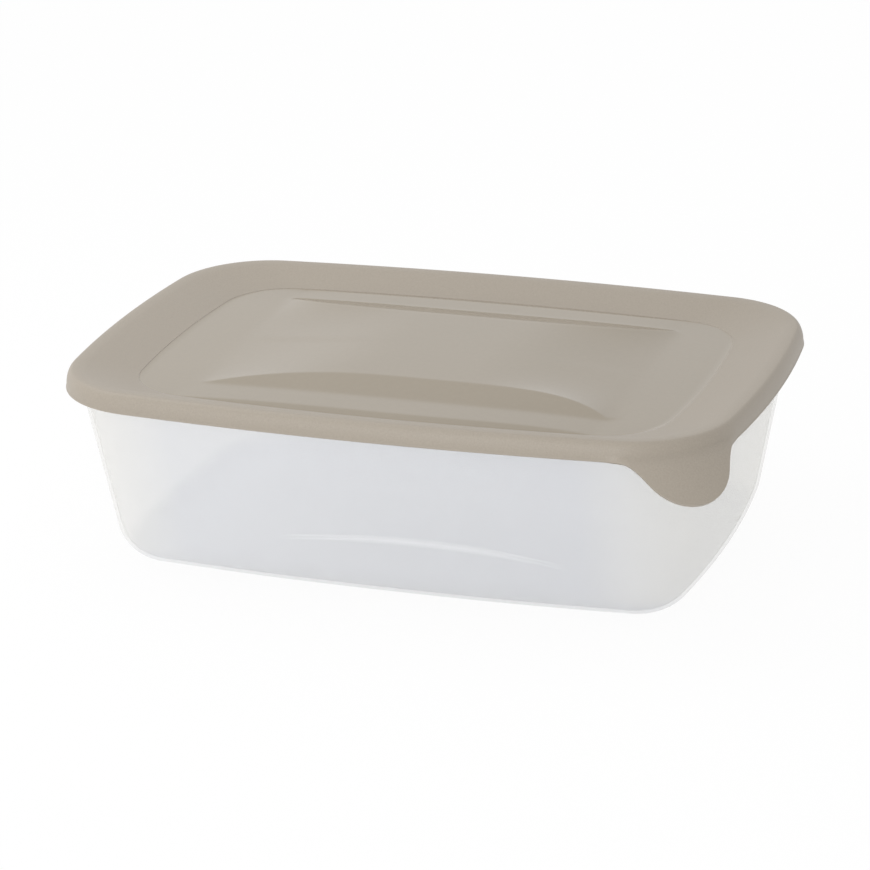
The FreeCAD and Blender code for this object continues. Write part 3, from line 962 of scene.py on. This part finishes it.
def tub_material(finish):
    """Natural frosted plastic: see-through with a faint milky haze, with painted light on its ends, a painted
    highlight along the front crease and painted shade towards +X.
    """
    material = bpy.data.materials.new("tub_plastic_finish")
    graph = Graph(material)
    place = graph.node("ShaderNodeTexCoord").out("Object")
    cloud = graph.noise(place, scale=12.0, detail=3.0)
    grain = graph.noise(place, scale=900.0)
    split = graph.node("ShaderNodeSeparateXYZ", None, {"Vector": place})
    x, y, z = split.out("X"), split.out("Y"), split.out("Z")

    # Parts of the tub: its walls, its two ends, and walls that are looked at from the side. The ends carry
    # painted light: they are painted lighter and warmer, and hazed less, than the base and the long walls.
    walls = graph.ramp(z, low=5 * MM, high=10 * MM)
    ends = graph.ramp(graph.size_of(x), low=85 * MM, high=125 * MM) * walls
    facing = graph.node("ShaderNodeLayerWeight", None, {"Blend": 0.5}).out("Facing")
    edge = graph.ramp(facing, low=0.65, high=1.0) * walls

    # A painted highlight along the front crease of the base: a lighter, less hazed line, bowed forward and
    # thinner towards its ends.
    spread = x * x * (1 / (70 * MM) ** 2)
    beside = graph.size_of(y + 26.0 * MM + spread * 5.7 * MM)
    crease = graph.ramp(beside + spread * 2.2 * MM, low=2.4 * MM, high=1.0 * MM)
    crease = crease * graph.ramp(z, low=7.5 * MM, high=7.0 * MM)

    # Painted shade: the haze thickens towards +X, so the tub's right side renders darker.
    painted_right_shade = graph.ramp(x, low=-60 * MM, high=90 * MM)
    # Painted light and shade in the haze: less on the ends and the crease line, more towards +X.
    haze = (cloud - 0.5) * 0.03 - ends * 0.05 + painted_right_shade * 0.025 + finish.tub_haze + edge * 0.09 - crease * 0.13
    colour = graph.mix_colour(cloud, tinted(finish.tub, 0.985), tinted(finish.tub, 1.015))
    # Painted light: the end walls take the lighter, warmer colour.
    colour = graph.mix_colour(ends, colour, tinted(finish.tub_ends_painted_light, 1.0))
    # Colour of the painted highlight along the front crease.
    clear = (0.97, 0.97, 0.95, 1.0)
    shader = graph.node("ShaderNodeBsdfPrincipled", None, {
        "Base Color": graph.mix_colour(crease, colour, clear),
        "Roughness": (grain - 0.5) * 0.03 + finish.tub_roughness,
        "IOR": PLASTIC_IOR,
        "Specular IOR Level": 0.25,
        "Alpha": haze,
        "Normal": graph.bump(grain, strength=0.02, distance=0.03 * MM),
    })
    graph.surface(shader)
    return material


def floor_material(finish):
    """Pale floor: white to the camera, but with the box's shadow on it."""
    material = bpy.data.materials.new("pale_floor")
    graph = Graph(material)
    seen = graph.seen()
    plain = graph.node("ShaderNodeBsdfDiffuse", None, {"Color": tinted(finish.floor, 1.0)})
    glow = graph.node("ShaderNodeEmission", None, {"Color": WHITE, "Strength": 1.0})
    shader = graph.node("ShaderNodeMixShader", None, {0: seen * FLOOR_GLOW, 1: plain.out(), 2: glow.out()})
    graph.surface(shader)
    return material


def studio_world():
    """White surroundings, and plain soft light that is a little stronger from the left."""
    world = bpy.data.worlds.new("studio")
    bpy.context.scene.world = world
    graph = Graph(world)
    seen = graph.seen()
    direction = graph.node("ShaderNodeTexCoord").out("Generated")
    to_left = graph.node("ShaderNodeVectorMath", {"operation": "DOT_PRODUCT"}, {
        0: direction, 1: (-1.0, 0.0, 0.0)}).out("Value")
    strength = seen + (1 - seen) * (to_left * LEFT_LIGHT + EVEN_LIGHT)
    light = graph.node("ShaderNodeBackground", None, {"Color": WHITE, "Strength": strength})
    graph.surface(light, "ShaderNodeOutputWorld")


# ----------------------------------------
# Operators
# ----------------------------------------
FLOOR_SIZE = 4.0
FLOOR_GAP = 0.2 * MM                    # the floor lies this far under the box
LAMP_TARGET = Vector((0.0, 0.0, 0.05))
CAMERA_TARGET = Vector((0.0, 0.0, 0.0775))
CAMERA_DISTANCE = 1.4205
CAMERA_SHIFT = (1.47 * MM, 31.14 * MM)  # aim beside and above the target


class FOODBOX_OT_stage(bpy.types.Operator):
    """Set up the camera, the soft studio light and the pale floor"""

    bl_idname = "foodbox.stage"
    bl_label = "Stage"

    def execute(self, context):
        scene = context.scene
        finish = scene.food_box_finish
        scene.view_settings.view_transform = "Standard"
        add_camera(scene)
        studio_world()
        bpy.ops.object.select_all(action="DESELECT")
        bpy.ops.mesh.primitive_plane_add(size=FLOOR_SIZE, location=(0.0, 0.0, -FLOOR_GAP))
        floor = bpy.context.object
        floor.name = "floor"
        floor.data.materials.append(floor_material(finish))
        add_lamp("front_fill", place=(-0.3, -1.7, 0.5), size=1.2, watts=8.5)
        add_lamp("left_light", place=(-0.30, -0.05, 0.48), size=0.35, watts=0.55)
        return {"FINISHED"}


def add_camera(scene):
    """Camera above the front right, at the distance of a product view."""
    turn, tilt, roll = math.radians(19.59), math.radians(20.61), math.radians(-1.58)
    back = Vector((math.sin(turn) * math.cos(tilt), -math.cos(turn) * math.cos(tilt), math.sin(tilt)))
    right = Vector((math.cos(turn), math.sin(turn), 0.0))
    up = back.cross(right)
    right, up = right * math.cos(roll) + up * math.sin(roll), up * math.cos(roll) - right * math.sin(roll)
    aim_right, aim_up = CAMERA_SHIFT
    data = bpy.data.cameras.new("camera")
    data.sensor_width = 36.0
    data.lens = 141.11
    camera = bpy.data.objects.new("camera", data)
    scene.collection.objects.link(camera)
    turned = Matrix((right, up, back)).transposed().to_4x4()
    turned.translation = CAMERA_TARGET + back * CAMERA_DISTANCE - right * aim_right - up * aim_up
    camera.matrix_world = turned
    scene.camera = camera


def add_lamp(name, place, size, watts):
    """Soft square lamp that faces the box."""
    data = bpy.data.lights.new(name, "AREA")
    data.shape = "SQUARE"
    data.size = size
    data.energy = watts
    lamp = bpy.data.objects.new(name, data)
    bpy.context.scene.collection.objects.link(lamp)
    spot = Vector(place)
    lamp.location = spot
    lamp.rotation_euler = (spot - LAMP_TARGET).to_track_quat("Z", "Y").to_euler()


class FOODBOX_OT_lid(bpy.types.Operator):
    """Model the lid: its panel, ring, rim and pull tab, with an even wall"""

    bl_idname = "foodbox.lid"
    bl_label = "Lid"

    def execute(self, context):
        scene = context.scene
        shape = LidShape(scene)
        layout = shape.layout()

        def position(column, row):
            spot = layout.spot(column, row)
            return Vector((spot.x, spot.y, shape.panel_height(spot)))

        piece = add_grid("storage_lid", layout.columns, layout.rows, layout.border_place, position)
        extrude_rings(piece, shape.ring_stations() + shape.lip_stations())
        mark_polish(piece, layout)
        shell = piece.modifiers.new("wall", "SOLIDIFY")
        shell.thickness = shape.size.wall
        shell.offset = -1.0
        shell.use_even_offset = True
        apply_modifiers(piece)
        close_piece(piece)
        piece.data.materials.append(lid_material(scene.food_box_finish))
        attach(piece, "root")
        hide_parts("lid")
        return {"FINISHED"}


class FOODBOX_OT_tub(bpy.types.Operator):
    """Model the tub: its arched base, drafted walls and rolled rim"""

    bl_idname = "foodbox.tub"
    bl_label = "Tub"

    def execute(self, context):
        scene = context.scene
        shape = TubShape(scene)
        piece = add_base(shape, 0, "storage_tub")
        extrude_rings(piece, shape.skin_stations())
        select_only([piece, add_base(shape, 1, "tub_inside")])
        bpy.ops.object.join()
        close_piece(piece)
        piece.data.materials.append(tub_material(scene.food_box_finish))
        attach(piece, "root")
        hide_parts("tub")
        return {"FINISHED"}


class FOODBOX_PT_sidebar(bpy.types.Panel):
    """Lists the steps that make the box"""

    bl_label = "Food Box"
    bl_idname = "FOODBOX_PT_sidebar"
    bl_space_type = "VIEW_3D"
    bl_region_type = "UI"
    bl_category = "Food Box"

    def draw(self, context):
        for step in STEPS:
            self.layout.operator(step.bl_idname)


STEPS = (FOODBOX_OT_stage, FOODBOX_OT_lid, FOODBOX_OT_tub)
GROUPS = {
    "food_box_outline": BoxOutline,
    "food_box_lid": LidSizes,
    "food_box_tub": TubSizes,
    "food_box_finish": FinishColours,
}


def register():
    """Register the sizes, the steps and the sidebar."""
    for name, group in GROUPS.items():
        bpy.utils.register_class(group)
        setattr(bpy.types.Scene, name, PointerProperty(type=group))
    for step in STEPS + (FOODBOX_PT_sidebar,):
        bpy.utils.register_class(step)


def unregister():
    """Remove what register added."""
    for step in (FOODBOX_PT_sidebar,) + STEPS[::-1]:
        bpy.utils.unregister_class(step)
    for name, group in GROUPS.items():
        delattr(bpy.types.Scene, name)
        bpy.utils.unregister_class(group)


def main():
    """Build the stage and the box."""
    register()
    bpy.ops.foodbox.stage()
    bpy.ops.foodbox.lid()
    bpy.ops.foodbox.tub()


if __name__ == "__main__":
    main()
